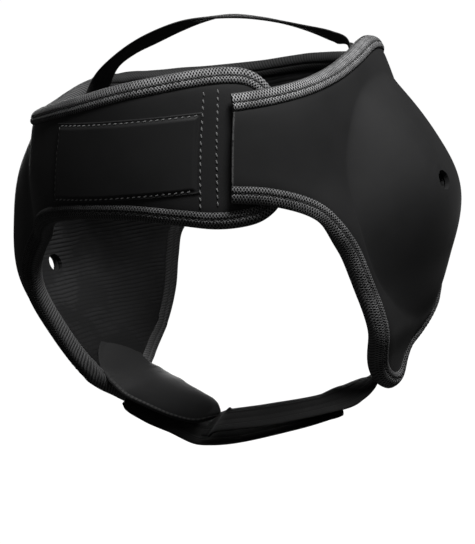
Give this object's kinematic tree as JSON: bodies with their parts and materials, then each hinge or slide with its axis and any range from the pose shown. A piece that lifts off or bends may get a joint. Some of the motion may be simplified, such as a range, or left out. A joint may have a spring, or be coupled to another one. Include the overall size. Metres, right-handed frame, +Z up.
{
  "type": "grappling_headgear",
  "caption": "Black padded grappling headgear with soft ear cups, ear holes, an overlapping forehead closure, a crown strap and a padded chin strap",
  "frame": {"origin": "centre of the head ring, halfway up the forehead band, where the head's mount sits", "axes": "+X to the right-hand side of a viewer who faces the front, through the right ear hole; +Y towards the back of the head; +Z up, from the chin strap to the crown strap"},
  "size_m": [0.2466, 0.2072, 0.2151],
  "materials": {
    "shell": "smooth",
    "lining": "ribbed",
    "binding": "knitted",
    "strap": "woven"
  },
  "bodies": {
    "root": {"left_shell": "shell", "right_shell": "shell", "left_lining": "lining", "right_lining": "lining", "left_binding": "binding", "right_top_binding": "binding", "right_foot_binding": "binding", "brow_patch": "shell", "brow_hook_pad": "strap", "crown_strap": "strap", "chin_strap_left": "strap", "chin_strap_right": "strap", "chin_pad": "lining"}
  },
  "joints": []
}
